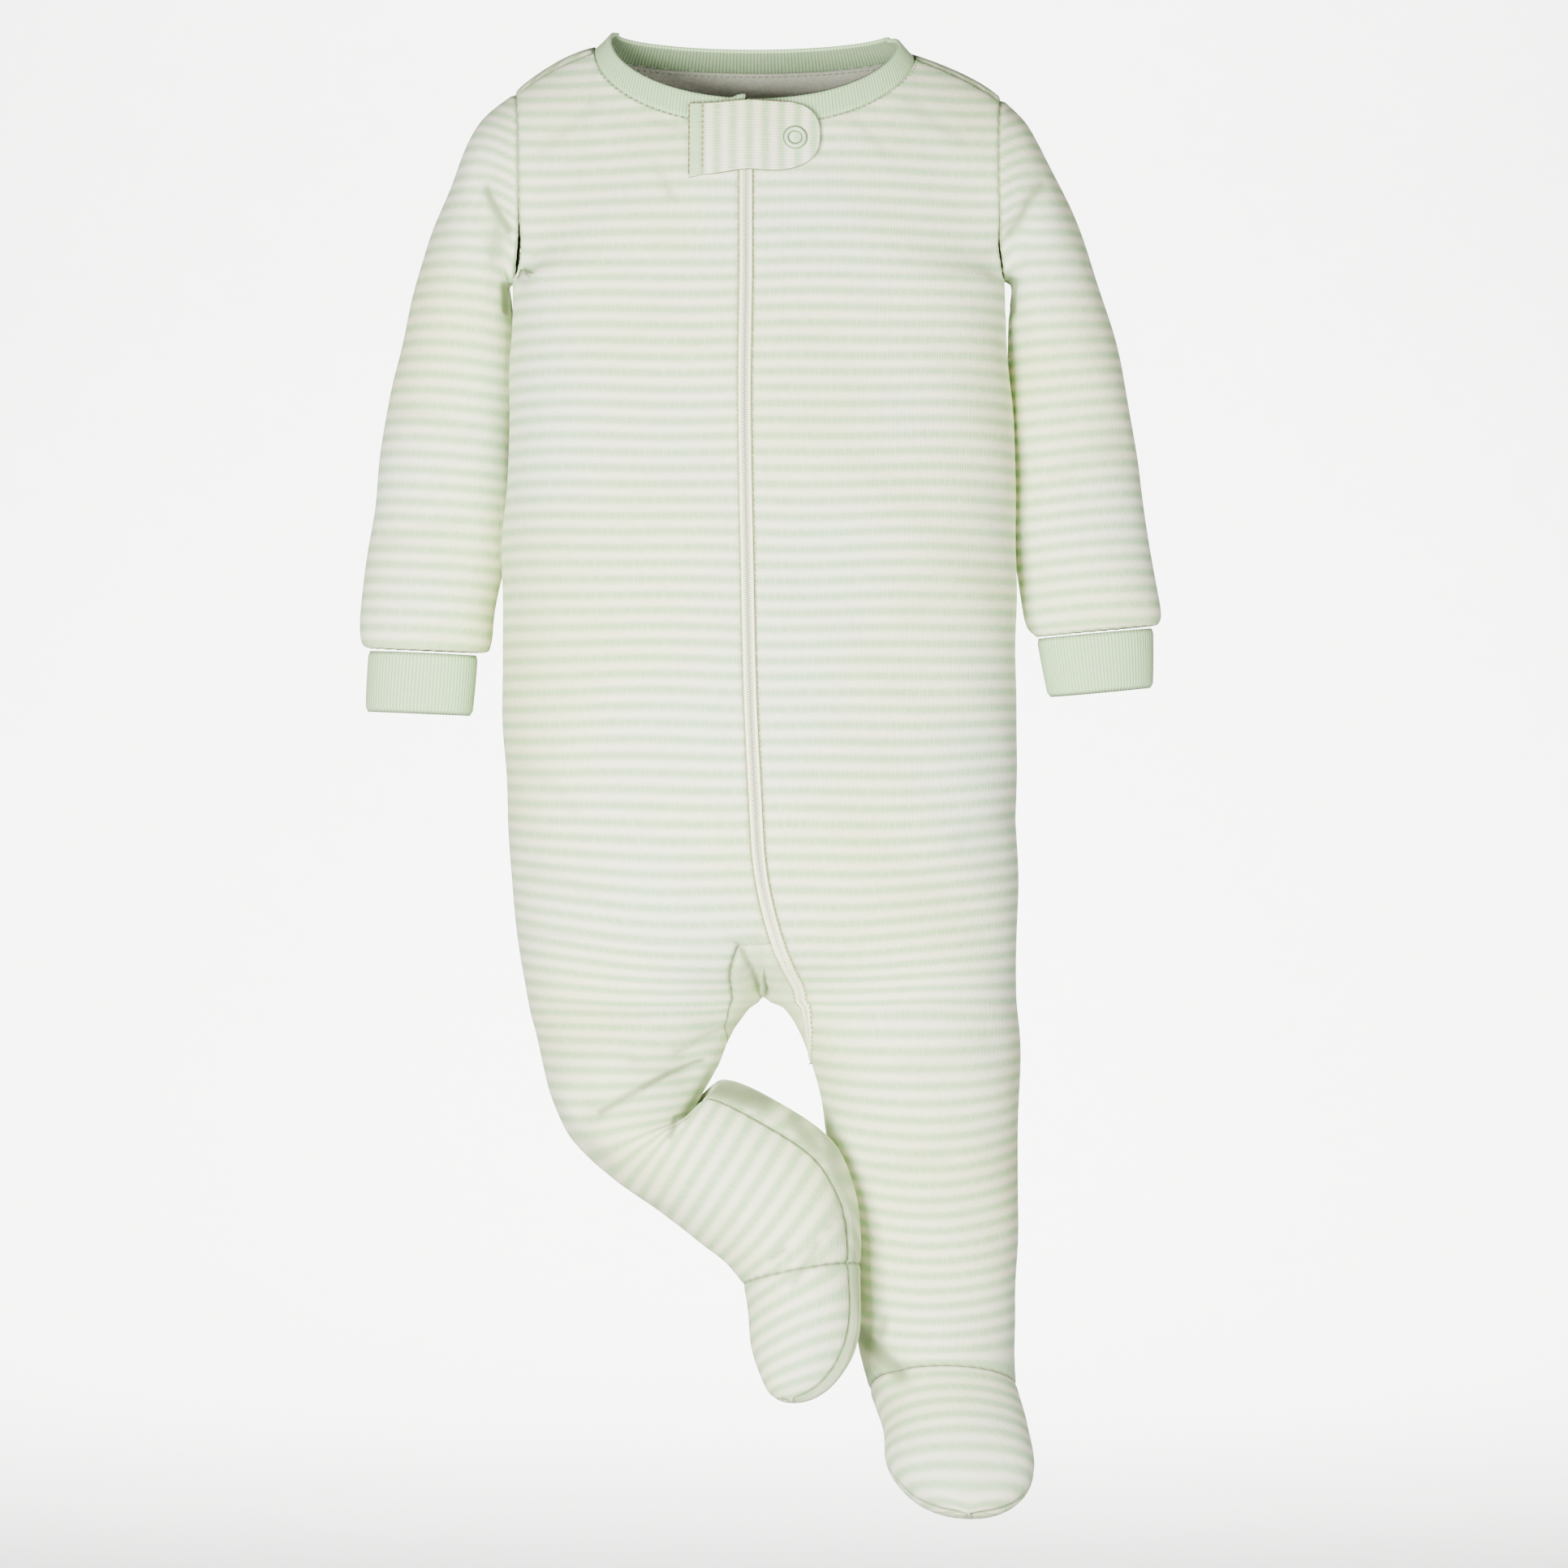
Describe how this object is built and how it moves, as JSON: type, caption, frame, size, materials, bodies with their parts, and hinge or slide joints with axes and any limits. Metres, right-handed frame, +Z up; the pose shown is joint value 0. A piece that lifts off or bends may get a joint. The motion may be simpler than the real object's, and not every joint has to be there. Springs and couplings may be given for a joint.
{
  "type": "footed baby sleepsuit",
  "caption": "Footed baby sleepsuit in striped cotton jersey with long sleeves, rib cuffs and neckband, a zip to the crotch and a snapped chin guard.",
  "frame": {"origin": "middle of the neck opening, level with the tops of the shoulder seams, where the suit is held", "axes": "+Z up from feet to neck, -Y the front with the zip, +X the wearer's left"},
  "size_m": [0.3348, 0.1221, 0.6175],
  "materials": {
    "striped_jersey": "matte knit in pale green and cream stripes",
    "rib_knit": "matte fine rib",
    "zip_tape": "matte woven tape",
    "zip_plastic": "satin",
    "snap": "satin enamel on a ring snap"
  },
  "bodies": {
    "root": {"front_right": "striped_jersey", "front_left": "striped_jersey", "back": "striped_jersey", "crotch_gusset": "striped_jersey", "foot_top_right": "striped_jersey", "foot_top_left": "striped_jersey", "sole_right": "striped_jersey", "sole_left": "striped_jersey", "sleeve_right": "striped_jersey", "sleeve_left": "striped_jersey", "cuff_right": "rib_knit", "cuff_left": "rib_knit", "neckband": "rib_knit", "zip_tape_right": "zip_tape", "zip_tape_left": "zip_tape", "zip_coil": "zip_plastic", "chin_guard": "striped_jersey", "zip_slider": "zip_plastic", "zip_pull": "zip_plastic", "snap_ring": "snap", "snap_stud": "snap"}
  },
  "joints": []
}
